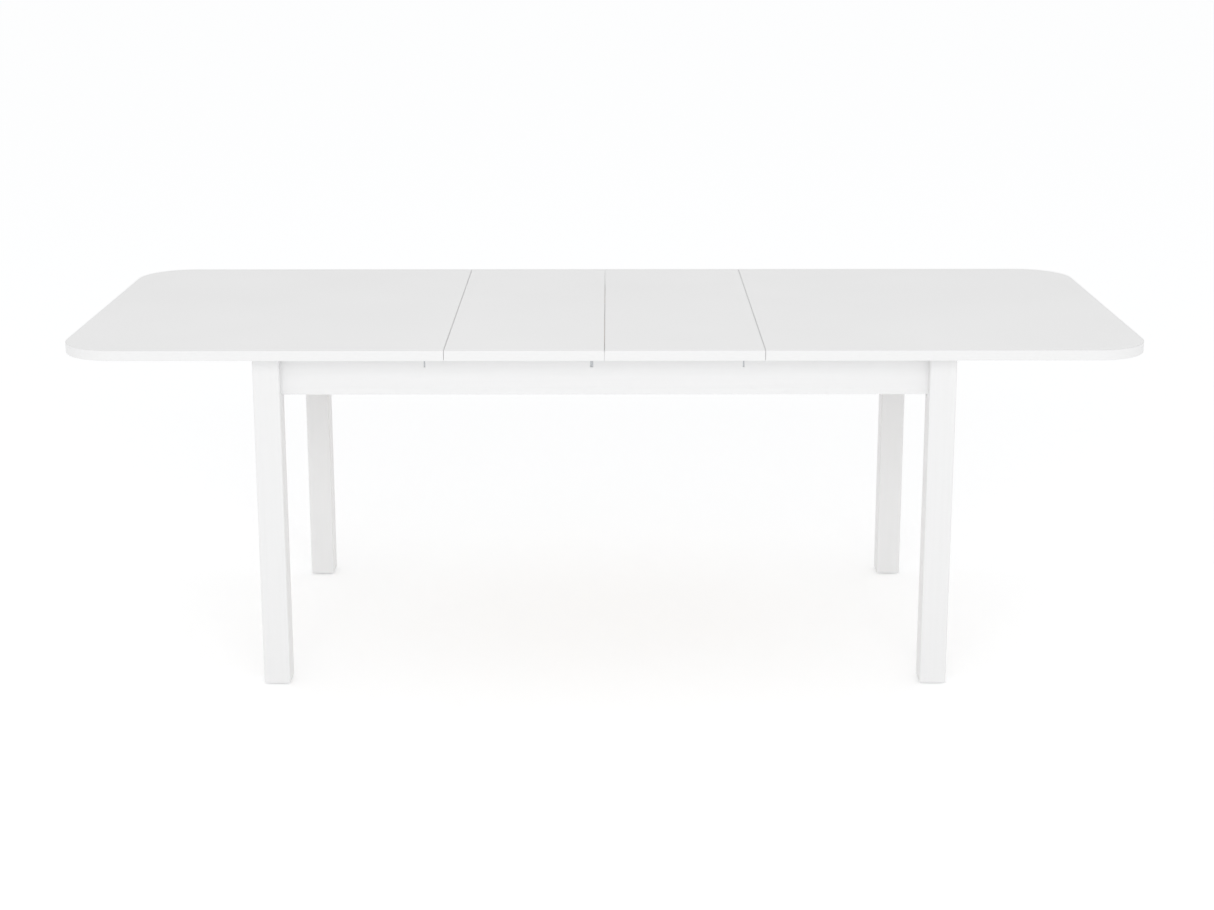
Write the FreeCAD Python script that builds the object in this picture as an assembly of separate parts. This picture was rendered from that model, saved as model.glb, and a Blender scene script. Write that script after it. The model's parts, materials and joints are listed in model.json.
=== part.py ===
import FreeCAD, Part
import math
import os

# Extendable dining table in millimetres, drawn fully extended with both leaves in place.
# X runs along the length, the front is at -Y and Z is up. The origin is on the floor, under the middle.
# Half a turn about Z brings the table back onto itself. So the right top, the right leaf and all that
# sits along the back are the left and front ones, turned half round.

# Table top
HEIGHT = 755.0
DEPTH = 900.0
CLOSED_LENGTH = 1600.0
LEAF_WIDTH = 330.0
BOARD = 22.0                # thickness of the tops and leaves
CORNER_RADIUS = 115.0
SEAM = 0.6                  # gap between two neighbouring boards
EDGING = 2.0                # thickness of the strip glued round each board
ARRIS = 1.0                 # rounding of that strip, above and below
CORNER_ARRIS = 1.5          # rounding of its upright corners
OUTWARD_TRAVEL = 40.0       # how far a top slides out beyond the leaves, to free them

# Legs and aprons
END_OVERHANG = 65.0         # from the closed top's end to the legs
SIDE_OVERHANG = 65.0        # from the top's long edge to the legs
LEG = 56.0
LEG_ARRIS = 3.0
LEG_FOOT_CHAMFER = 1.5
GLIDE_HEIGHT = 3.0
GLIDE_RADIUS = 19.0
GLIDE_CHAMFER = 0.8
GLIDE_PIN_RADIUS = 2.5
GLIDE_PIN_LENGTH = 18.0
APRON = 18.0                # thickness
APRON_HEIGHT = 92.0
APRON_RECESS = 20.0         # how far the aprons sit behind the legs' outer faces
APRON_ARRIS = 1.5
SLIDE_GAP = 0.3             # the tops and leaves clear the frame by this much

# Runners, two side by side in lanes under each long edge
RUNNER_WIDTH = 22.0
RUNNER_HEIGHT = 28.0
OUTER_LANE = 311.0          # |Y| of the middle of the lane next to the apron
LANE_PITCH = 25.0
RUNNER_OUTER_END = 1050.0   # |X| of the end under its own top
RUNNER_INNER_END = 100.0    # how far it reaches past the middle, under the other top
RUNNER_RELIEF = 0.5         # planed off where a runner passes under the leaves
RELIEF_LEAD = 5.0           # the planing starts this far before the top's inner edge
GROOVE = 6.0                # width and depth of the groove in a runner's side
GROOVE_BOTTOM = 10.0        # above the runner's underside
RUNNER_SCREWS = 5
RUNNER_SCREW_ENDS = (60.0, 80.0)            # from the outer end, and from the top's inner edge
COUNTERBORE_RADIUS = 5.0
COUNTERBORE_DEPTH = 8.0

# Guide plates that carry the runners, let into saw cuts in the long aprons' top edges
PLATE = 3.0
PLATE_X = (-377.0, -28.55, -25.45, 291.0)   # along the front apron
PLATE_NAMES = ("left", "centre_left", "centre_right", "right")
PLATE_FLANGE_SIDE = (-1, -1, 1, 1)
SAW_CUTS = ((-377.0, 3.2), (-27.0, 6.4), (291.0, 3.2))   # middle and width of each cut
SAW_CUT_DEPTH = 33.0
PLATE_SETBACK = 2.0         # the plate's end stays this far behind the apron's face
PLATE_BAR = 10.4            # steel under the runners
PLATE_POST = 16.0           # steel beside the inner lane
RUNNER_PLAY = 0.6
FLANGE_LENGTH = 25.0
FLANGE_DROP = (4.0, 30.0)   # top and bottom of the flange, below the top's underside
FLANGE_SCREW_X = 18.0       # from the plate's middle
FLANGE_SCREW_PITCH = 13.0
TAB_DROP = (12.5, 17.5)     # tabs that reach into the runners' grooves
TAB_REACH = 5.0
NOTCH_PLAY = 2.0            # round the runners, in the short aprons

# Smaller pieces
SCREW_RADIUS = 2.0
SHORT_SCREW = 14.0
LONG_SCREW = 30.0
BATTEN_SCREW = 22.0
HEAD_RADIUS = 4.0
HEAD_HEIGHT = 2.4
CROSS_RECESS = (2.2, 0.45)  # half the length and half the width of its arms
HOLE_SLACK = 0.1            # added to a screw's radius and length for its hole
LOOSE_SLACK = 0.5           # the same round a leg bolt, where it only passes through
FIT_GAP = 0.5               # left between pieces that must not bind
STOP_BLOCK = 40.0
STOP_BLOCK_HEIGHT = 20.0
STOP_BLOCK_Y = 230.0
LEAF_BATTEN = (280.0, 18.0, 12.0)           # length, width, thickness
LEAF_BATTEN_Y = 246.0
LEAF_BATTEN_CHAMFER = 3.0
LEAF_SCREW_END = 20.0       # from the batten's end
STORAGE_BATTEN = (60.0, 16.0)               # width, thickness
STORAGE_BATTEN_X = (-320.0, 0.0, 320.0)
STORAGE_BATTEN_NAMES = ("left", "centre", "right")
SHEET = 2.0                 # steel of the corner and angle brackets
ANGLE_WIDTH = 40.0
ANGLE_LENGTH = 32.0
ANGLE_SCREW = 22.0          # from the angle bracket's bend
CORNER_BRACKET_DROP = (38.0, 86.0)
CORNER_BRACKET_WING = 33.0
CORNER_BRACKET_SCREW = 12.0 # from the wing's end
CORNER_BRACKET_SPAN = 71.0  # |X| and |Y| that its slanting middle covers
LEG_SEAT = 16.0             # the flat planed off the leg's inner corner for the bolts
LEG_SEAT_RISE = 2.0         # it starts this far above the aprons' bottom
BOLT_RADIUS = 4.0
BOLT_IN_LEG = 45.0
BOLT_DROPS = (50.0, 74.0)
WASHER_RADIUS = 8.0
WASHER = 1.6
NUT_FLATS = 13.0
NUT = 6.5
BOLT_TAIL = 4.0             # past the nut

OVERCUT = 1.0               # a cutter reaches this far past what it cuts
EDGE_TOLERANCE = 0.001      # for picking edges by where they lie

# Worked out from the sizes above
UNDERSIDE = HEIGHT - BOARD
FLANGE_Z = [UNDERSIDE - drop for drop in FLANGE_DROP]
TAB_Z = [UNDERSIDE - drop for drop in TAB_DROP]
CORNER_BRACKET_Z = [UNDERSIDE - drop for drop in reversed(CORNER_BRACKET_DROP)]
BOLT_HEIGHTS = [UNDERSIDE - drop for drop in BOLT_DROPS]
FRAME_TOP = UNDERSIDE - SLIDE_GAP
APRON_BOTTOM = FRAME_TOP - APRON_HEIGHT
END_X = CLOSED_LENGTH / 2 + LEAF_WIDTH
LEG_FACE_X = CLOSED_LENGTH / 2 - END_OVERHANG
LEG_FACE_Y = DEPTH / 2 - SIDE_OVERHANG
LEG_BACK_X = LEG_FACE_X - LEG
LEG_BACK_Y = LEG_FACE_Y - LEG
LONG_FACE = LEG_FACE_Y - APRON_RECESS
LONG_BACK = LONG_FACE - APRON
SHORT_FACE = LEG_FACE_X - APRON_RECESS
SHORT_BACK = SHORT_FACE - APRON
RUNNER_BOTTOM = UNDERSIDE - RUNNER_HEIGHT
INNER_LANE = OUTER_LANE - LANE_PITCH
WINDOW_OUTER = OUTER_LANE + RUNNER_WIDTH / 2 + RUNNER_PLAY
WINDOW_INNER = INNER_LANE - RUNNER_WIDTH / 2 - RUNNER_PLAY
STOP_BLOCK_END = SHORT_BACK - OUTWARD_TRAVEL - FIT_GAP
BATTEN_TOP = APRON_BOTTOM + STORAGE_BATTEN[1]
UP = FreeCAD.Vector(0, 0, 1)
DOWN = FreeCAD.Vector(0, 0, -1)
CORNERS = {"front_left": (-1, -1), "front_right": (1, -1), "back_left": (-1, 1), "back_right": (1, 1)}


def box(x0, x1, y0, y1, z0, z1):
    """A block between two opposite corners, given in any order."""
    low = FreeCAD.Vector(min(x0, x1), min(y0, y1), min(z0, z1))
    return Part.makeBox(abs(x1 - x0), abs(y1 - y0), abs(z1 - z0), low)


def prism(points, z0, z1):
    """A straight-sided outline in plan, between two heights."""
    corners = [FreeCAD.Vector(x, y, z0) for x, y in points]
    return Part.Face(Part.makePolygon(corners + corners[:1])).extrude(UP * (z1 - z0))


def rod(start, direction, radius, length):
    return Part.makeCylinder(radius, length, start, direction)


def turned(shape):
    """A copy turned half round about Z."""
    copy = shape.copy()
    copy.rotate(FreeCAD.Vector(0, 0, 0), UP, 180)
    return copy


def at_corner(shape, side_x, side_y):
    """A copy of a piece drawn at +X +Y, mirrored to another corner of the frame."""
    if side_x < 0:
        shape = shape.mirror(FreeCAD.Vector(0, 0, 0), FreeCAD.Vector(1, 0, 0))
    if side_y < 0:
        shape = shape.mirror(FreeCAD.Vector(0, 0, 0), FreeCAD.Vector(0, 1, 0))
    return shape


def mirrored(vector, side_x, side_y):
    return FreeCAD.Vector(vector.x * side_x, vector.y * side_y, vector.z)


def edges_at_height(solid, height):
    flat = [e for e in solid.Edges if e.BoundBox.ZLength < EDGE_TOLERANCE]
    return [e for e in flat if abs(e.BoundBox.ZMin - height) < EDGE_TOLERANCE]


def upright_edges(solid):
    boxes = [(e, e.BoundBox) for e in solid.Edges]
    return [e for e, room in boxes if max(room.XLength, room.YLength) < EDGE_TOLERANCE]


def long_edges_at(rail, height):
    """The two edges that run along a rail at this height."""
    return [e for e in edges_at_height(rail, height) if e.Length > 2 * APRON]


def screw(seat, inward, length):
    """A pan-head screw: its head sits on `seat` and its shank runs along `inward`."""
    shank = rod(FreeCAD.Vector(0, 0, 0), UP, SCREW_RADIUS, length)
    head = rod(FreeCAD.Vector(0, 0, -HEAD_HEIGHT), UP, HEAD_RADIUS, HEAD_HEIGHT)
    head = head.makeFillet(HEAD_HEIGHT / 2, edges_at_height(head, -HEAD_HEIGHT))
    for arm_x, arm_y in (CROSS_RECESS, CROSS_RECESS[::-1]):
        head = head.cut(box(-arm_x, arm_x, -arm_y, arm_y, -HEAD_HEIGHT - OVERCUT, -HEAD_HEIGHT / 2))
    solid = shank.fuse(head).removeSplitter()
    solid.Placement = FreeCAD.Placement(seat, FreeCAD.Rotation(UP, inward))
    return solid


def screw_hole(seat, inward, length):
    return rod(seat, inward, SCREW_RADIUS + HOLE_SLACK, length + HOLE_SLACK)


def drilled(solid, seats, length):
    """The solid with a hole for each screw, where seats holds (seat, inward) pairs."""
    for seat, inward in seats:
        solid = solid.cut(screw_hole(seat, inward, length))
    return solid


def screws(seats, length):
    return [screw(seat, inward, length) for seat, inward in seats]


def both_sides(seats):
    """Seats given on the front side, and the same ones on the back."""
    return seats + [(mirrored(seat, 1, -1), mirrored(inward, 1, -1)) for seat, inward in seats]


def save(name, solids):
    """Write one node: a solid, or a group of separate ones."""
    shape = Part.makeCompound(solids) if isinstance(solids, list) else solids
    shape.exportStep(os.path.join("parts", name + ".step"))


# Boards

def board(x0, x1, rounded):
    """One board's core and the ring of edging round it. `rounded` gives the x0 end round corners."""
    outside = box(x0, x1, -DEPTH / 2, DEPTH / 2, UNDERSIDE, HEIGHT)
    inset = DEPTH / 2 - EDGING
    core = box(x0 + EDGING, x1 - EDGING, -inset, inset, UNDERSIDE, HEIGHT)
    outside = outside.makeFillet(CORNER_ARRIS, end_corners(outside, x1))
    if rounded:
        outside = outside.makeFillet(CORNER_RADIUS, end_corners(outside, x0))
        core = core.makeFillet(CORNER_RADIUS - EDGING, end_corners(core, x0 + EDGING))
    else:
        outside = outside.makeFillet(CORNER_ARRIS, end_corners(outside, x0))
    rims = edges_at_height(outside, HEIGHT) + edges_at_height(outside, UNDERSIDE)
    return core, outside.makeFillet(ARRIS, rims).cut(core)


def end_corners(solid, x):
    return [e for e in upright_edges(solid) if abs(e.BoundBox.XMin - x) < EDGE_TOLERANCE]


def cut_strips(ring, places):
    """Split the edging into a straight strip at each of the X places, and what is left."""
    slabs = [box(x, x + EDGING, -DEPTH, DEPTH, 0, HEIGHT) for x in places]
    strips = [ring.common(slab) for slab in slabs]
    rest = ring
    for slab in slabs:
        rest = rest.cut(slab)
    return [solid for shape in strips + [rest] for solid in shape.Solids]


# Half top: the left one, whose front runner lies in the outer lane and back runner in the inner lane

def runner_seats(lane_y):
    first = -RUNNER_OUTER_END + RUNNER_SCREW_ENDS[0]
    last = -LEAF_WIDTH - RUNNER_SCREW_ENDS[1]
    step = (last - first) / (RUNNER_SCREWS - 1)
    z = RUNNER_BOTTOM + COUNTERBORE_DEPTH
    return [(FreeCAD.Vector(first + i * step, lane_y, z), UP) for i in range(RUNNER_SCREWS)]


def runner(lane_y, groove_side):
    """A wooden runner at lane_y, with a groove in the side that faces groove_side along Y."""
    half = RUNNER_WIDTH / 2
    bar = box(-RUNNER_OUTER_END, RUNNER_INNER_END, lane_y - half, lane_y + half, RUNNER_BOTTOM, UNDERSIDE)
    relief_z = UNDERSIDE - RUNNER_RELIEF
    bar = bar.cut(box(-LEAF_WIDTH - RELIEF_LEAD, RUNNER_INNER_END, lane_y - half, lane_y + half,
                      relief_z, UNDERSIDE))
    face = lane_y + groove_side * half
    groove_z = RUNNER_BOTTOM + GROOVE_BOTTOM
    bar = bar.cut(box(-RUNNER_OUTER_END, RUNNER_INNER_END, face, face - groove_side * GROOVE,
                      groove_z, groove_z + GROOVE))
    for seat, _ in runner_seats(lane_y):
        bar = bar.cut(rod(seat, DOWN, COUNTERBORE_RADIUS, COUNTERBORE_DEPTH))
    return drilled(bar, runner_seats(lane_y), LONG_SCREW)


def stop_blocks():
    half = STOP_BLOCK / 2
    x = -STOP_BLOCK_END
    z = UNDERSIDE - STOP_BLOCK_HEIGHT
    return [box(x, x + STOP_BLOCK, y - half, y + half, z, UNDERSIDE) for y in (-STOP_BLOCK_Y, STOP_BLOCK_Y)]


def stop_seats():
    z = UNDERSIDE - STOP_BLOCK_HEIGHT
    places = [-STOP_BLOCK_END + STOP_BLOCK / 4, -STOP_BLOCK_END + STOP_BLOCK * 3 / 4]
    return both_sides([(FreeCAD.Vector(x, -STOP_BLOCK_Y, z), UP) for x in places])


def half_top():
    """The left half top, as names and solids."""
    inner = -LEAF_WIDTH - SEAM / 2
    core, ring = board(-END_X, inner, rounded=True)
    front_seats = runner_seats(-OUTER_LANE)
    back_seats = runner_seats(INNER_LANE)
    return {
        "top_panel": drilled(core, front_seats + back_seats + stop_seats(), LONG_SCREW),
        "top_edging": cut_strips(ring, [inner - EDGING]),
        "runner_front": runner(-OUTER_LANE, -1),
        "runner_back": runner(INNER_LANE, -1),
        "runner_screws": screws(front_seats + back_seats, LONG_SCREW),
        "stop_blocks": [drilled(block, stop_seats(), LONG_SCREW) for block in stop_blocks()],
        "stop_screws": screws(stop_seats(), LONG_SCREW),
    }


# Leaf: the left one

def leaf_seats():
    z = UNDERSIDE - LEAF_BATTEN[2]
    reach = LEAF_BATTEN[0] / 2 - LEAF_SCREW_END
    places = [-LEAF_WIDTH / 2 + offset for offset in (-reach, 0, reach)]
    return both_sides([(FreeCAD.Vector(x, -LEAF_BATTEN_Y, z), UP) for x in places])


def leaf_batten(y):
    length, width, thickness = LEAF_BATTEN
    x = -LEAF_WIDTH / 2
    bottom = UNDERSIDE - thickness
    bar = box(x - length / 2, x + length / 2, y - width / 2, y + width / 2, bottom, UNDERSIDE)
    bar = bar.makeChamfer(LEAF_BATTEN_CHAMFER, edges_at_height(bar, bottom))
    return drilled(bar, leaf_seats(), BATTEN_SCREW)


def leaf():
    """The left leaf, as names and solids."""
    x0 = -LEAF_WIDTH + SEAM / 2
    x1 = -SEAM / 2
    core, ring = board(x0, x1, rounded=False)
    return {
        "leaf_panel": drilled(core, leaf_seats(), BATTEN_SCREW),
        "leaf_edging": cut_strips(ring, [x0, x1 - EDGING]),
        "leaf_batten_front": leaf_batten(-LEAF_BATTEN_Y),
        "leaf_batten_back": leaf_batten(LEAF_BATTEN_Y),
        "leaf_screws": screws(leaf_seats(), BATTEN_SCREW),
    }


# Legs with their glides, bolts and corner brackets, all drawn at +X +Y

LEG_X = LEG_FACE_X - LEG / 2
LEG_Y = LEG_FACE_Y - LEG / 2
SEAT_MIDDLE = (LEG_BACK_X + LEG_SEAT / 2, LEG_BACK_Y + LEG_SEAT / 2)
INTO_LEG = FreeCAD.Vector(1, 1, 0).normalize()


def bracket_gap():
    """From the leg's bolt seat to the slanting plate, along the bolts."""
    seat_sum = sum(SEAT_MIDDLE)
    plate_sum = SHORT_BACK + LONG_BACK - CORNER_BRACKET_SPAN
    return (seat_sum - plate_sum) / math.sqrt(2)


def on_bolt(distance, z):
    """A point on a leg bolt's axis, so far from the seat into the leg, or out of it if negative."""
    return FreeCAD.Vector(SEAT_MIDDLE[0], SEAT_MIDDLE[1], z) + INTO_LEG * distance


def leg():
    post = box(LEG_BACK_X, LEG_FACE_X, LEG_BACK_Y, LEG_FACE_Y, GLIDE_HEIGHT, FRAME_TOP)
    post = post.makeFillet(LEG_ARRIS, upright_edges(post))
    post = post.makeChamfer(LEG_FOOT_CHAMFER, edges_at_height(post, GLIDE_HEIGHT))
    x, y = LEG_BACK_X - OVERCUT, LEG_BACK_Y - OVERCUT
    reach = LEG_SEAT + 2 * OVERCUT
    post = post.cut(prism([(x, y), (x + reach, y), (x, y + reach)], APRON_BOTTOM + LEG_SEAT_RISE, HEIGHT))
    for z in BOLT_HEIGHTS:
        post = post.cut(rod(on_bolt(0, z), INTO_LEG, BOLT_RADIUS + HOLE_SLACK, BOLT_IN_LEG + HOLE_SLACK))
    pin = FreeCAD.Vector(LEG_X, LEG_Y, GLIDE_HEIGHT)
    return post.cut(rod(pin, UP, GLIDE_PIN_RADIUS + HOLE_SLACK, GLIDE_PIN_LENGTH + HOLE_SLACK))


def foot_glide():
    disc = rod(FreeCAD.Vector(LEG_X, LEG_Y, 0), UP, GLIDE_RADIUS, GLIDE_HEIGHT)
    disc = disc.makeChamfer(GLIDE_CHAMFER, edges_at_height(disc, 0))
    pin = rod(FreeCAD.Vector(LEG_X, LEG_Y, GLIDE_HEIGHT), UP, GLIDE_PIN_RADIUS, GLIDE_PIN_LENGTH)
    return disc.fuse(pin)


def bracket_seats():
    """Where the corner bracket is screwed to the long apron and to the short one."""
    along = CORNER_BRACKET_SPAN + CORNER_BRACKET_WING - CORNER_BRACKET_SCREW
    long_side = [(FreeCAD.Vector(SHORT_BACK - along, LONG_BACK - SHEET, z), FreeCAD.Vector(0, 1, 0))
                 for z in BOLT_HEIGHTS]
    short_side = [(FreeCAD.Vector(SHORT_BACK - SHEET, LONG_BACK - along, z), FreeCAD.Vector(1, 0, 0))
                  for z in BOLT_HEIGHTS]
    return long_side + short_side


def corner_bracket():
    """A bent steel strip: a wing on each apron and a slanting middle that the leg bolts pull on."""
    reach = CORNER_BRACKET_SPAN + CORNER_BRACKET_WING
    inner_bend = SHEET * (math.sqrt(2) - 1)
    inner_span = CORNER_BRACKET_SPAN + inner_bend
    x, y, span = SHORT_BACK, LONG_BACK, CORNER_BRACKET_SPAN
    outline = [(x - reach, y), (x - span, y), (x, y - span), (x, y - reach), (x - SHEET, y - reach),
               (x - SHEET, y - inner_span), (x - inner_span, y - SHEET), (x - reach, y - SHEET)]
    strip = drilled(prism(outline, *CORNER_BRACKET_Z), bracket_seats(), SHORT_SCREW)
    for z in BOLT_HEIGHTS:
        through = bracket_gap() + SHEET + OVERCUT
        strip = strip.cut(rod(on_bolt(0, z), INTO_LEG * -1, BOLT_RADIUS + LOOSE_SLACK, through))
    return strip


def leg_bolts():
    length = BOLT_IN_LEG + bracket_gap() + SHEET + WASHER + NUT + BOLT_TAIL
    return [rod(on_bolt(BOLT_IN_LEG, z), INTO_LEG * -1, BOLT_RADIUS, length) for z in BOLT_HEIGHTS]


def leg_washers():
    away = INTO_LEG * -1
    starts = [on_bolt(-bracket_gap() - SHEET, z) for z in BOLT_HEIGHTS]
    return [rod(start, away, WASHER_RADIUS, WASHER).cut(rod(start, away, BOLT_RADIUS + LOOSE_SLACK, WASHER))
            for start in starts]


def leg_nuts():
    across = NUT_FLATS / math.sqrt(3)
    hexagon = [(across * math.cos(math.radians(60 * i)), across * math.sin(math.radians(60 * i)))
               for i in range(6)]
    nut = prism(hexagon, 0, NUT).cut(rod(FreeCAD.Vector(0, 0, 0), UP, BOLT_RADIUS + HOLE_SLACK, NUT))
    nuts = []
    for z in BOLT_HEIGHTS:
        placed = nut.copy()
        place = on_bolt(-bracket_gap() - SHEET - WASHER, z)
        placed.Placement = FreeCAD.Placement(place, FreeCAD.Rotation(UP, INTO_LEG * -1))
        nuts.append(placed)
    return nuts


def at_all_corners(solids):
    return [at_corner(solid, side_x, side_y) for side_x, side_y in CORNERS.values() for solid in solids]


def all_bracket_seats():
    return [(mirrored(seat, *sides), mirrored(inward, *sides))
            for sides in CORNERS.values() for seat, inward in bracket_seats()]


# Storage battens, where the leaves lie when they are out of the top

def storage_batten(x):
    width, thickness = STORAGE_BATTEN
    bar = box(x - width / 2, x + width / 2, -LONG_BACK, LONG_BACK, APRON_BOTTOM, BATTEN_TOP)
    return drilled(bar, batten_seats(x), SHORT_SCREW)


def batten_seats(x):
    """Screws of the two angle brackets of one batten, down into it and out into the aprons."""
    places = (x - ANGLE_WIDTH / 4, x + ANGLE_WIDTH / 4)
    down = [(FreeCAD.Vector(px, -LONG_BACK + ANGLE_SCREW, BATTEN_TOP + SHEET), DOWN) for px in places]
    outward = [(FreeCAD.Vector(px, -LONG_BACK + SHEET, BATTEN_TOP + ANGLE_SCREW), FreeCAD.Vector(0, -1, 0))
               for px in places]
    return both_sides(down + outward)


def batten_angles(x):
    """The two angle brackets of one batten."""
    half = ANGLE_WIDTH / 2
    y = -LONG_BACK
    flat = box(x - half, x + half, y, y + ANGLE_LENGTH, BATTEN_TOP, BATTEN_TOP + SHEET)
    upright = box(x - half, x + half, y, y + SHEET, BATTEN_TOP, BATTEN_TOP + ANGLE_LENGTH)
    angle = drilled(flat.fuse(upright).removeSplitter(), batten_seats(x), SHORT_SCREW)
    return [angle, angle.mirror(FreeCAD.Vector(0, 0, 0), FreeCAD.Vector(0, 1, 0))]


# Guide plates, drawn along the front apron

def flange_seats(x, side):
    middle = sum(FLANGE_Z) / 2
    px = x + side * FLANGE_SCREW_X
    return [(FreeCAD.Vector(px, -LONG_BACK + PLATE, middle + offset), FreeCAD.Vector(0, -1, 0))
            for offset in (-FLANGE_SCREW_PITCH / 2, FLANGE_SCREW_PITCH / 2)]


def guide_plate(x, side):
    """A steel plate across the two lanes, open above, with a flange towards `side` along X."""
    x0, x1 = x - PLATE / 2, x + PLATE / 2
    top = FRAME_TOP - FIT_GAP
    bar_top = RUNNER_BOTTOM - RUNNER_PLAY
    tail = box(x0, x1, -LONG_FACE + PLATE_SETBACK, -LONG_BACK, FRAME_TOP - SAW_CUT_DEPTH + FIT_GAP, top)
    plate = box(x0, x1, -LONG_BACK, -WINDOW_INNER + PLATE_POST, bar_top - PLATE_BAR, top)
    plate = plate.cut(box(x0, x1, -WINDOW_OUTER, -WINDOW_INNER, bar_top, HEIGHT))
    outer_tab = box(x0, x1, -WINDOW_OUTER, -WINDOW_OUTER + TAB_REACH, *TAB_Z)
    inner_tab = box(x0, x1, -WINDOW_INNER, -WINDOW_INNER - TAB_REACH, *TAB_Z)
    flange = box(x, x + side * (PLATE / 2 + FLANGE_LENGTH), -LONG_BACK, -LONG_BACK + PLATE, *FLANGE_Z)
    solid = plate.multiFuse([tail, outer_tab, inner_tab, flange]).removeSplitter()
    return drilled(solid, flange_seats(x, side), SHORT_SCREW)


def all_flange_seats():
    return [seat for x, side in zip(PLATE_X, PLATE_FLANGE_SIDE) for seat in flange_seats(x, side)]


# Aprons

def long_apron():
    """The front long apron, sawn from above for the guide plates."""
    rail = box(-LEG_BACK_X, LEG_BACK_X, -LONG_FACE, -LONG_BACK, APRON_BOTTOM, FRAME_TOP)
    rail = rail.makeFillet(APRON_ARRIS, long_edges_at(rail, APRON_BOTTOM))
    for x, width in SAW_CUTS:
        rail = rail.cut(box(x - width / 2, x + width / 2, -DEPTH, 0, FRAME_TOP - SAW_CUT_DEPTH, HEIGHT))
    seats = all_flange_seats() + all_bracket_seats()
    for x in STORAGE_BATTEN_X:
        seats = seats + batten_seats(x)
    return drilled(rail, seats, SHORT_SCREW)


def short_apron():
    """The left short apron, cut down at both ends to let the runners pass."""
    rail = box(-SHORT_FACE, -SHORT_BACK, -LEG_BACK_Y, LEG_BACK_Y, APRON_BOTTOM, FRAME_TOP)
    rail = rail.makeFillet(APRON_ARRIS, long_edges_at(rail, APRON_BOTTOM))
    inner = INNER_LANE - RUNNER_WIDTH / 2 - NOTCH_PLAY
    for side in (-1, 1):
        rail = rail.cut(box(-SHORT_FACE, -SHORT_BACK, side * inner, side * LEG_BACK_Y,
                            RUNNER_BOTTOM - NOTCH_PLAY, HEIGHT))
    return drilled(rail, all_bracket_seats(), SHORT_SCREW)


def write_frame():
    save("long_apron_front", long_apron())
    save("long_apron_back", turned(long_apron()))
    save("short_apron_left", short_apron())
    save("short_apron_right", turned(short_apron()))
    for place, sides in CORNERS.items():
        save("leg_" + place, at_corner(leg(), *sides))
        save("foot_glide_" + place, at_corner(foot_glide(), *sides))
        save("corner_bracket_" + place, at_corner(corner_bracket(), *sides))
    save("leg_bolts", at_all_corners(leg_bolts()))
    save("leg_washers", at_all_corners(leg_washers()))
    save("leg_nuts", at_all_corners(leg_nuts()))
    save("bracket_screws", screws(all_bracket_seats(), SHORT_SCREW))
    for name, x, side in zip(PLATE_NAMES, PLATE_X, PLATE_FLANGE_SIDE):
        save("runner_guide_front_" + name, guide_plate(x, side))
    for name, x, side in zip(reversed(PLATE_NAMES), PLATE_X, PLATE_FLANGE_SIDE):
        save("runner_guide_back_" + name, turned(guide_plate(x, side)))
    front = screws(all_flange_seats(), SHORT_SCREW)
    save("guide_screws", front + [turned(solid) for solid in front])
    for name, x in zip(STORAGE_BATTEN_NAMES, STORAGE_BATTEN_X):
        save("storage_batten_" + name, storage_batten(x))
    save("batten_angles", [angle for x in STORAGE_BATTEN_X for angle in batten_angles(x)])
    seats = [seat for x in STORAGE_BATTEN_X for seat in batten_seats(x)]
    save("batten_screws", screws(seats, SHORT_SCREW))


def write_both_ends(pieces):
    """Write the left pieces, and the right ones turned half round: front and back change places."""
    swap = {"front": "back", "back": "front"}
    for name, solids in pieces.items():
        save("left_" + name, solids)
        words = name.split("_")
        other = "_".join(swap.get(word, word) for word in words)
        if isinstance(solids, list):
            save("right_" + other, [turned(solid) for solid in solids])
        else:
            save("right_" + other, turned(solids))


os.makedirs("parts", exist_ok=True)
write_frame()
write_both_ends(half_top())
write_both_ends(leaf())
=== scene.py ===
import json
import math
import bmesh
import bpy
from mathutils import Euler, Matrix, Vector


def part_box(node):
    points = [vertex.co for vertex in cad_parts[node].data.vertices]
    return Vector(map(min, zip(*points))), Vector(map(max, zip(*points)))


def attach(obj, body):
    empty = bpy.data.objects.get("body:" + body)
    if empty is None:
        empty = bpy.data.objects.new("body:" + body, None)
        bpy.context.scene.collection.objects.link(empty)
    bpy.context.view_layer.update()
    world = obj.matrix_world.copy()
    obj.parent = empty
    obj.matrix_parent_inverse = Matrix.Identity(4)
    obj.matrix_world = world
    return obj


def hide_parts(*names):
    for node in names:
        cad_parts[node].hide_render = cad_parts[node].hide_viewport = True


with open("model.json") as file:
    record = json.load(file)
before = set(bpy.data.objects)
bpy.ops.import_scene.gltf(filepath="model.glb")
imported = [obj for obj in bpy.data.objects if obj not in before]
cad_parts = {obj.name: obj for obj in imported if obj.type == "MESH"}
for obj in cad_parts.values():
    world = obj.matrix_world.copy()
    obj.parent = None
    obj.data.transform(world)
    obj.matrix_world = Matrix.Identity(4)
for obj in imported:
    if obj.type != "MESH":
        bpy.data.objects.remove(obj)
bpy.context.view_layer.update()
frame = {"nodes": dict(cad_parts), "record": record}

# The extended table on a white floor, in metres. The CAD nodes are the object. This script gives each of
# them its material, redraws the leg bolts and nuts, and adds the camera, the floor and the light.

# Camera
CAMERA_PLACE = (0.008, -4.481, 1.684)
CAMERA_PITCH = 12.68            # degrees below the horizon
CAMERA_YAW = 0.03
CAMERA_ROLL = 0.05
SENSOR = 36.0
FOCAL_LENGTH = 59.95            # millimetres on that sensor
SHIFT_Y = -0.0947               # moves the table to its place in the picture

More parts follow.
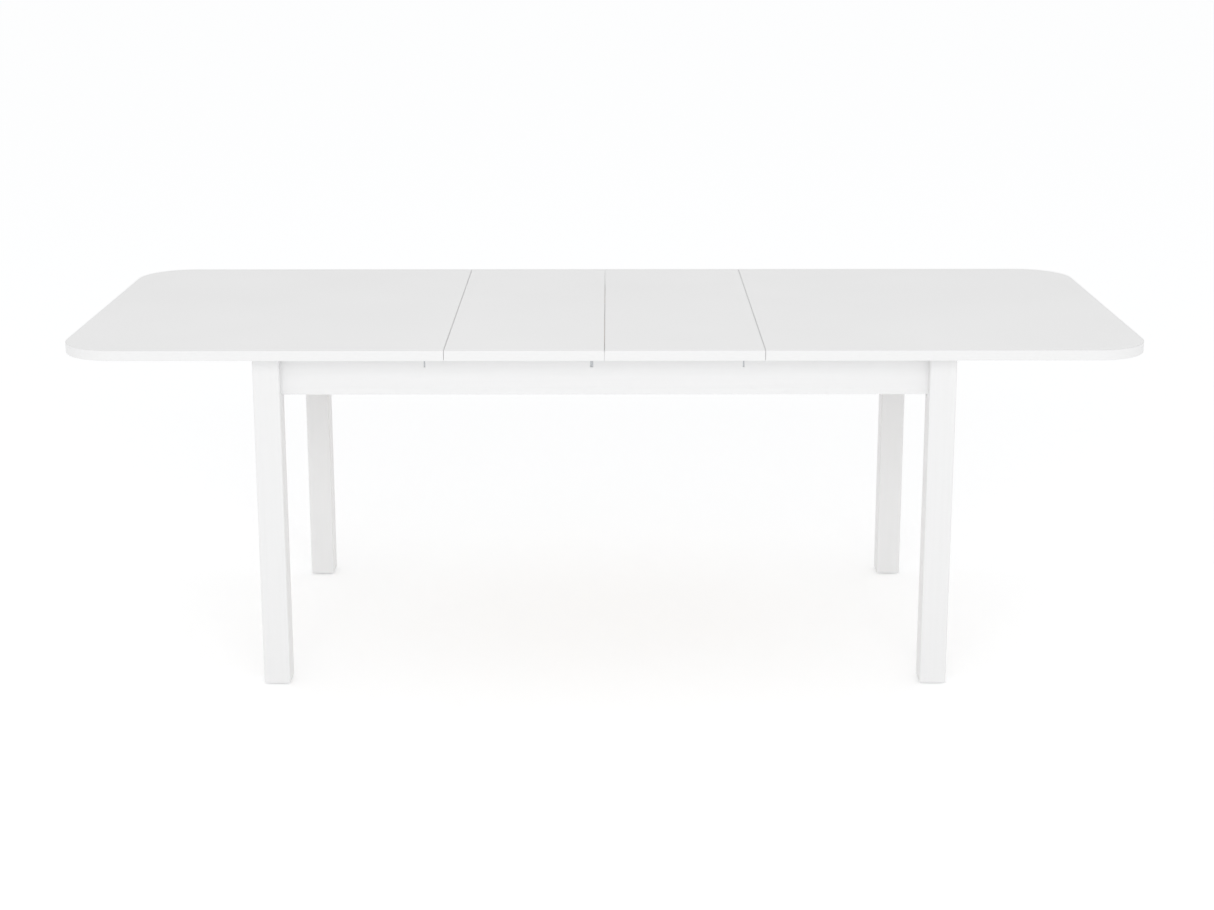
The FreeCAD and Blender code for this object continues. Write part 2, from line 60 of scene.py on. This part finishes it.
# Light
WHITE = (1.0, 1.0, 1.0)
SURROUNDINGS_GLOW = 0.835       # strength of the even light from all round
FRONT_LIGHT_PLACE = (0.0, -4.8, 2.6)
FRONT_LIGHT_SIZE = (4.0, 1.5)
FRONT_LIGHT_AIM = (0.0, 0.0, 0.4)
FRONT_LIGHT_POWER = 43.0        # watts

# Floor
FLOOR_SIZE = 60.0
FLOOR_TONE = (0.945, 0.949, 0.954)     # a little cool, against the warm light from the beech
FLOOR_GLOW = 0.195              # keeps the floor white round the table's own soft shadow


# Materials

class Shading:
    """A material's node tree, with short ways to add the nodes that the materials here use."""

    def __init__(self, name):
        self.material = bpy.data.materials.new(name)
        self.material.use_nodes = True
        self.nodes = self.material.node_tree.nodes
        self.links = self.material.node_tree.links
        self.shader = self.nodes["Principled BSDF"]
        self.coordinates = self.nodes.new("ShaderNodeTexCoord")

    def set(self, **values):
        """Values for the shader's own sockets, by name."""
        for name, value in values.items():
            self.shader.inputs[name.replace("_", " ").title()].default_value = value
        return self

    def stretched(self, scale):
        """Object coordinates, scaled along each axis. A small scale makes a texture longer."""
        mapping = self.nodes.new("ShaderNodeMapping")
        mapping.inputs["Scale"].default_value = scale
        self.links.new(self.coordinates.outputs["Object"], mapping.inputs["Vector"])
        return mapping.outputs["Vector"]

    def noise(self, scale, stretch=(1, 1, 1), detail=4, roughness=0.55):
        node = self.nodes.new("ShaderNodeTexNoise")
        node.inputs["Scale"].default_value = scale
        node.inputs["Detail"].default_value = detail
        node.inputs["Roughness"].default_value = roughness
        self.links.new(self.stretched(stretch), node.inputs["Vector"])
        return node.outputs["Fac"]

    def ramp(self, value, first, last, low=0.3, high=0.7):
        """Colours from the first to the last, as a texture's value goes from low to high."""
        node = self.nodes.new("ShaderNodeValToRGB")
        ends = node.color_ramp.elements
        ends[0].position, ends[0].color = low, (*first, 1)
        ends[1].position, ends[1].color = high, (*last, 1)
        self.links.new(value, node.inputs["Fac"])
        return node.outputs["Color"]

    def multiplied(self, color, shade):
        """One colour darkened by another."""
        node = self.nodes.new("ShaderNodeMix")
        node.data_type = "RGBA"
        node.blend_type = "MULTIPLY"
        factor, first, second = [socket for socket in node.inputs if socket.enabled]
        factor.default_value = 1.0
        self.links.new(color, first)
        self.links.new(shade, second)
        return next(socket for socket in node.outputs if socket.enabled)

    def span(self, value, low, high):
        """A texture's value mapped from 0..1 to low..high."""
        node = self.nodes.new("ShaderNodeMapRange")
        node.inputs["To Min"].default_value = low
        node.inputs["To Max"].default_value = high
        self.links.new(value, node.inputs["Value"])
        return node.outputs["Result"]

    def bump(self, value, distance, strength=1.0, onto=None):
        node = self.nodes.new("ShaderNodeBump")
        node.inputs["Distance"].default_value = distance
        node.inputs["Strength"].default_value = strength
        self.links.new(value, node.inputs["Height"])
        if onto is not None:
            self.links.new(onto, node.inputs["Normal"])
        return node.outputs["Normal"]

    def use(self, **outputs):
        """Links textures to the shader and gives back the finished material."""
        names = {"color": "Base Color", "roughness": "Roughness", "normal": "Normal"}
        for name, output in outputs.items():
            self.links.new(output, self.shader.inputs[names[name]])
        return self.material


def white_board():
    """Melamine facing: white, satin, with a fine pebbled grain."""
    look = Shading("white_board")
    grain = look.noise(900, detail=3)
    cloud = look.noise(2.5, detail=2)
    pebble = look.bump(grain, 0.00004, 0.35)
    return look.use(color=look.ramp(cloud, (0.89, 0.89, 0.89), (0.91, 0.91, 0.91)),
                    roughness=look.span(grain, 0.34, 0.46),
                    normal=pebble)


def white_edging():
    """Plastic edging strip: a touch brighter and smoother than the board."""
    look = Shading("white_edging")
    grain = look.noise(1400, detail=2)
    wave = look.noise(60, stretch=(1, 1, 6), detail=2)
    return look.use(color=look.ramp(wave, (0.815, 0.815, 0.815), (0.835, 0.835, 0.835)),
                    roughness=look.span(grain, 0.38, 0.48),
                    normal=look.bump(grain, 0.00003, 0.3))


def white_lacquer(name, stretch):
    """Sprayed lacquer over sanded wood, with a faint grain that runs along the piece."""
    look = Shading(name)
    grain = look.noise(120, stretch=stretch, detail=5)
    peel = look.noise(420, detail=2)
    ridges = look.bump(grain, 0.00003, 0.25)
    return look.use(color=look.ramp(grain, (0.812, 0.812, 0.812), (0.826, 0.826, 0.826)),
                    roughness=look.span(peel, 0.36, 0.50),
                    normal=look.bump(peel, 0.00004, 0.3, onto=ridges))


def beech(name, band_stretch, fleck_stretch):
    """Sanded beech: soft bands along the piece, and the short dark flecks that beech has."""
    look = Shading(name)
    grain = look.noise(60, stretch=band_stretch, detail=6)
    flecks = look.noise(420, stretch=fleck_stretch, detail=2)
    bands = look.ramp(grain, (0.55, 0.41, 0.27), (0.71, 0.57, 0.42))
    specks = look.ramp(flecks, (1.0, 1.0, 1.0), (0.74, 0.68, 0.62), low=0.56, high=0.68)
    return look.use(color=look.multiplied(bands, specks),
                    roughness=look.span(flecks, 0.5, 0.7),
                    normal=look.bump(flecks, 0.0001, 0.5))


def zinc_steel():
    """Zinc-plated steel with a fine mottling."""
    look = Shading("zinc_steel").set(metallic=1.0)
    spangle = look.noise(300, detail=3)
    return look.use(color=look.ramp(spangle, (0.44, 0.45, 0.47), (0.60, 0.61, 0.63)),
                    roughness=look.span(spangle, 0.30, 0.45),
                    normal=look.bump(spangle, 0.00003, 0.4))


def glide_plastic():
    """Moulded grey plastic with a matt grain."""
    look = Shading("glide_plastic")
    grain = look.noise(1200, detail=2)
    return look.use(color=look.ramp(grain, (0.60, 0.60, 0.59), (0.66, 0.66, 0.65)),
                    roughness=look.span(grain, 0.45, 0.6),
                    normal=look.bump(grain, 0.00003, 0.4))


def material_for(node, slot, made):
    """A slot's material, with its grain along the node's own length."""
    if slot == "white_lacquer":
        if node.startswith("leg_"):
            return made["lacquer_upright"]
        return made["lacquer_across" if node.startswith("short") else "lacquer_along"]
    if slot == "beech":
        return made["beech_across" if node.startswith("storage") else "beech_along"]
    return made[slot]


def paint_nodes():
    """Makes the materials, gives each CAD node its own, and returns them all by name."""
    made = {
        "white_board": white_board(),
        "white_edging": white_edging(),
        "lacquer_upright": white_lacquer("white_lacquer_upright", (1, 1, 0.04)),
        "lacquer_along": white_lacquer("white_lacquer_along", (0.04, 1, 1)),
        "lacquer_across": white_lacquer("white_lacquer_across", (1, 0.04, 1)),
        "beech_along": beech("beech_along", (0.06, 1, 1), (0.12, 1, 1)),
        "beech_across": beech("beech_across", (1, 0.06, 1), (1, 0.12, 1)),
        "zinc_steel": zinc_steel(),
        "glide_plastic": glide_plastic(),
    }
    slots = {part["node"]: part["material_slot"] for part in frame["record"]["subparts"]}
    for node, shown in frame["nodes"].items():
        shown.data.materials.clear()
        shown.data.materials.append(material_for(node, slots[node], made))
    return made


# Leg bolts and nuts, with the threads and chamfers that the CAD solids leave out

BOLT_RADIUS = 0.004
THREAD_PITCH = 0.00125
THREAD_DEPTH = 0.0006
THREAD_LENGTH = 0.030
BOLT_ROUND = 24                 # points round a bolt
STEPS_PER_TURN = 4
TIP = 0.001                     # length of the bolt's tapered tip
TIP_TAPER = 0.8                 # how much its radius shrinks for each unit of that length
NUT_FLATS = 0.013
NUT_BORE = 0.0041
NUT_FACE = 0.0061               # radius of the flat round face inside the chamfer
NUT_ROUND = 48                  # points round a nut
NUT_CHAMFER = math.radians(30)
DIAGONAL = math.sqrt(0.5)       # the bolts run at 45 degrees through the corners of the frame


def bolt_frames(node):
    """Each piece's start, at the end away from the leg, with its direction and its length.

    The pieces in one corner give the others, which mirror them, and the bolts give the two heights.
    """
    points = [vertex.co for vertex in frame["nodes"][node].data.vertices]
    corner = [point for point in points if point.x > 0 and point.y > 0]
    along = [(point.x + point.y) * DIAGONAL for point in corner]
    across = [(point.x - point.y) * DIAGONAL for point in corner]
    side = (min(across) + max(across)) / 2
    x, y = (min(along) + side) * DIAGONAL, (min(along) - side) * DIAGONAL
    low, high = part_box("leg_bolts")
    heights = (low[2] + BOLT_RADIUS, high[2] - BOLT_RADIUS)
    length = max(along) - min(along)
    return [(Vector((x * side_x, y * side_y, z)), Vector((side_x, side_y, 0)) * DIAGONAL, length)
            for side_x in (-1, 1) for side_y in (-1, 1) for z in heights]


def skin_rings(mesh, rings, closed):
    """Quads between rings of points; `closed` joins the last ring to the first, else both get a cap."""
    loops = [[mesh.verts.new(point) for point in ring] for ring in rings]
    count = len(loops[0])
    pairs = list(zip(loops, loops[1:]))
    if closed:
        pairs.append((loops[-1], loops[0]))
    for lower, upper in pairs:
        for i in range(count):
            j = (i + 1) % count
            mesh.faces.new((lower[i], lower[j], upper[j], upper[i]))
    if not closed:
        mesh.faces.new(loops[0][::-1])
        mesh.faces.new(loops[-1])


def thread_radius(height, turn):
    """Radius of a right-hand thread at a height along the bolt and a fraction of a turn round it."""
    wave = abs(2 * ((height / THREAD_PITCH - turn) % 1) - 1)
    ease = min(1, (THREAD_LENGTH - height) / THREAD_PITCH)
    taper = max(0, TIP - height) * TIP_TAPER
    return BOLT_RADIUS - THREAD_DEPTH * wave * ease - taper


def bolt_rings(length):
    """Rings up a bolt from its threaded tip, close together along the thread."""
    step = THREAD_PITCH / STEPS_PER_TURN
    heights = [i * step for i in range(round(THREAD_LENGTH / step) + 1)] + [length]
    rings = []
    for height in heights:
        ring = []
        for i in range(BOLT_ROUND):
            turn = i / BOLT_ROUND
            radius = thread_radius(height, turn) if height <= THREAD_LENGTH else BOLT_RADIUS
            ring.append((radius * math.cos(math.tau * turn), radius * math.sin(math.tau * turn), height))
        rings.append(ring)
    return rings


def nut_rings(length):
    """A hexagon chamfered at both ends to a round face, with a bore."""
    turns = [math.tau * i / NUT_ROUND for i in range(NUT_ROUND)]
    sixth = math.tau / 6
    hexagon = [NUT_FLATS / 2 / math.cos(turn % sixth - sixth / 2) for turn in turns]
    cut = [max(0, reach - NUT_FACE) * math.tan(NUT_CHAMFER) for reach in hexagon]
    far_cut = [length - depth for depth in cut]
    inner, face = [NUT_BORE] * NUT_ROUND, [NUT_FACE] * NUT_ROUND
    flat, top = [0] * NUT_ROUND, [length] * NUT_ROUND
    section = ((inner, flat), (face, flat), (hexagon, cut), (hexagon, far_cut),
               (face, top), (inner, top))
    return [[(radius * math.cos(turn), radius * math.sin(turn), height)
             for radius, height, turn in zip(radii, heights, turns)]
            for radii, heights in section]


def make_bolt_pieces(name, node, rings_for, closed, material):
    """One object with a copy of the piece at each place of the CAD node that it stands for."""
    mesh = bmesh.new()
    for start, direction, length in bolt_frames(node):
        turn = direction.to_track_quat("Z", "Y").to_matrix()
        rings = [[start + turn @ Vector(point) for point in ring] for ring in rings_for(length)]
        skin_rings(mesh, rings, closed)
    bmesh.ops.recalc_face_normals(mesh, faces=mesh.faces)
    data = bpy.data.meshes.new(name)
    mesh.to_mesh(data)
    mesh.free()
    data.materials.append(material)
    piece = bpy.data.objects.new(name, data)
    bpy.context.scene.collection.objects.link(piece)
    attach(piece, "root")
    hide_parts(node)


# Setting

def make_camera():
    camera = bpy.data.objects.new("camera", bpy.data.cameras.new("camera"))
    bpy.context.scene.collection.objects.link(camera)
    camera.location = CAMERA_PLACE
    turn = (90 - CAMERA_PITCH, CAMERA_ROLL, CAMERA_YAW)
    camera.rotation_euler = Euler([math.radians(angle) for angle in turn])
    camera.data.sensor_width = SENSOR
    camera.data.lens = FOCAL_LENGTH
    camera.data.shift_y = SHIFT_Y
    bpy.context.scene.camera = camera


def make_floor():
    bpy.ops.mesh.primitive_plane_add(size=FLOOR_SIZE)
    floor = bpy.context.object
    floor.name = "floor"
    shading = Shading("floor").set(roughness=0.9, base_color=(*FLOOR_TONE, 1),
                                   emission_color=(*WHITE, 1), emission_strength=FLOOR_GLOW)
    shading.shader.inputs["Specular IOR Level"].default_value = 0.0
    floor.data.materials.append(shading.material)


def make_front_light():
    light = bpy.data.lights.new("front_light", "AREA")
    light.shape = "RECTANGLE"
    light.size, light.size_y = FRONT_LIGHT_SIZE
    light.energy = FRONT_LIGHT_POWER
    lamp = bpy.data.objects.new("front_light", light)
    bpy.context.scene.collection.objects.link(lamp)
    lamp.location = FRONT_LIGHT_PLACE
    toward = Vector(FRONT_LIGHT_AIM) - Vector(FRONT_LIGHT_PLACE)
    lamp.rotation_euler = toward.to_track_quat("-Z", "Y").to_euler()
    lamp.visible_glossy = False      # no glare on the tops when they are seen from behind


def make_world():
    world = bpy.data.worlds.new("studio")
    bpy.context.scene.world = world
    world.use_nodes = True
    background = world.node_tree.nodes["Background"]
    background.inputs["Color"].default_value = (*WHITE, 1)
    background.inputs["Strength"].default_value = SURROUNDINGS_GLOW


def make_view_transform():
    settings = bpy.context.scene.view_settings
    settings.view_transform = "Standard"
    settings.exposure = 0.0


materials = paint_nodes()
make_bolt_pieces("threaded_leg_bolts", "leg_bolts", bolt_rings, False, materials["zinc_steel"])
make_bolt_pieces("chamfered_leg_nuts", "leg_nuts", nut_rings, True, materials["zinc_steel"])
make_camera()
make_floor()
make_front_light()
make_world()
make_view_transform()
